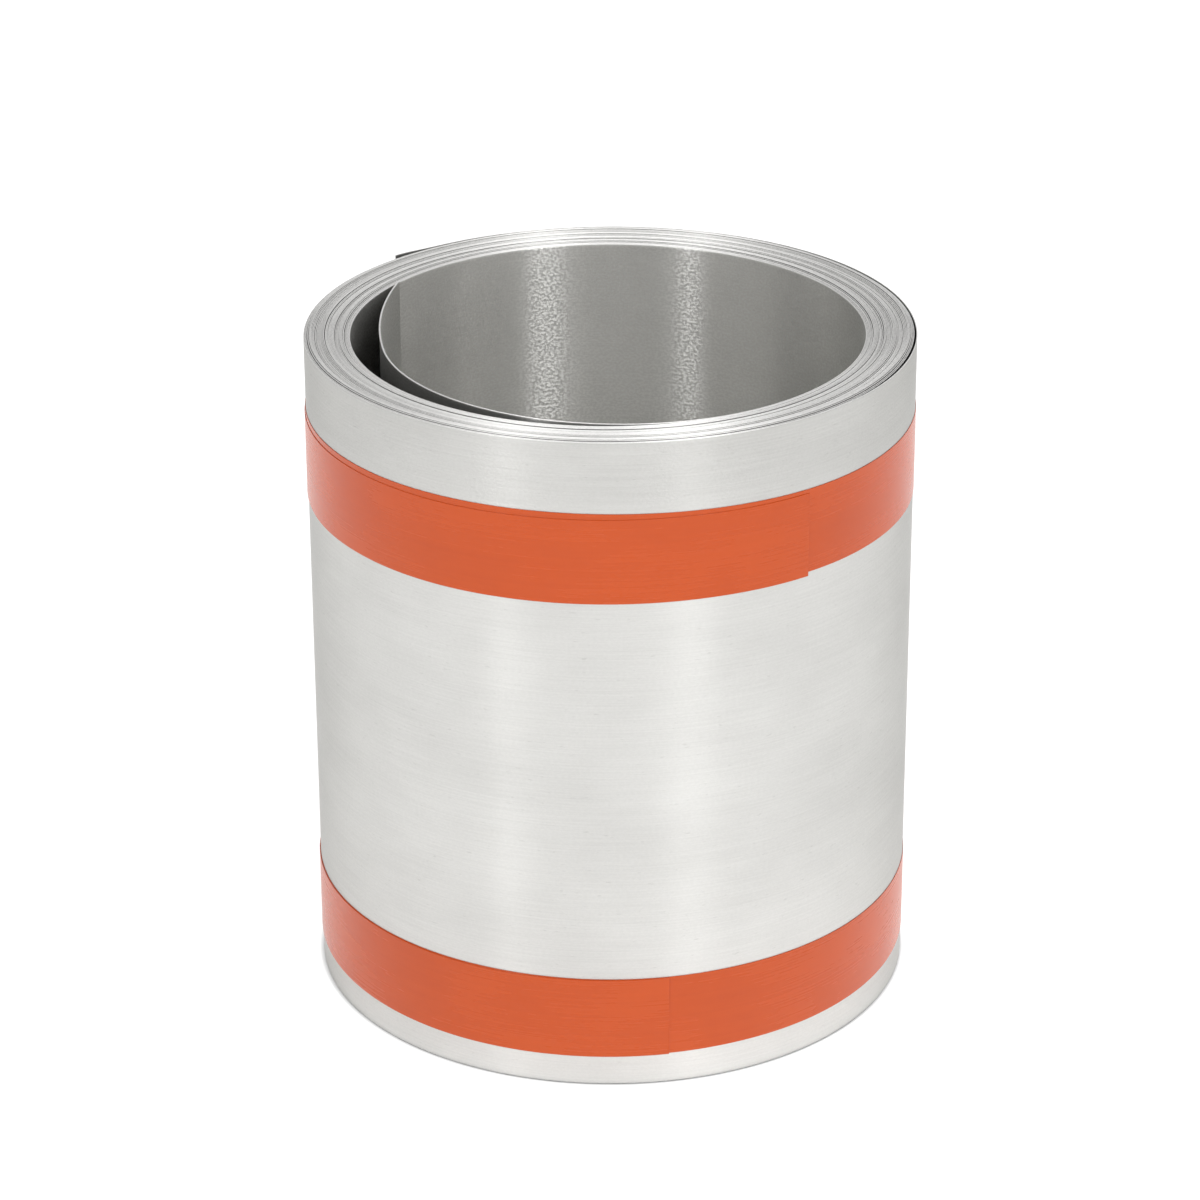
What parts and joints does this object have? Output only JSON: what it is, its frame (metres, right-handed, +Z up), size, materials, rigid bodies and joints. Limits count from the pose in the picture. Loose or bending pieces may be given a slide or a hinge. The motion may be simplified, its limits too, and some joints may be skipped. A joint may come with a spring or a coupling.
{
  "type": "aluminium flashing roll",
  "caption": "Roll of mill-finish aluminium flashing on its end, with a sprung inner leaf in the open core and bands of orange film tape.",
  "frame": {"origin": "on the roll's axis, in the plane of the end that it stands on", "axes": "+Z up along the roll's axis, +X to the right and -Y towards the viewer in the picture's view"},
  "size_m": [0.1354, 0.1354, 0.1524],
  "materials": {
    "aluminium": "mill finish with fine rolling lines",
    "tape": "glossy orange film"
  },
  "bodies": {
    "root": {"flashing_coil": "aluminium", "upper_tape_band": "tape", "lower_tape_band": "tape"}
  },
  "joints": []
}
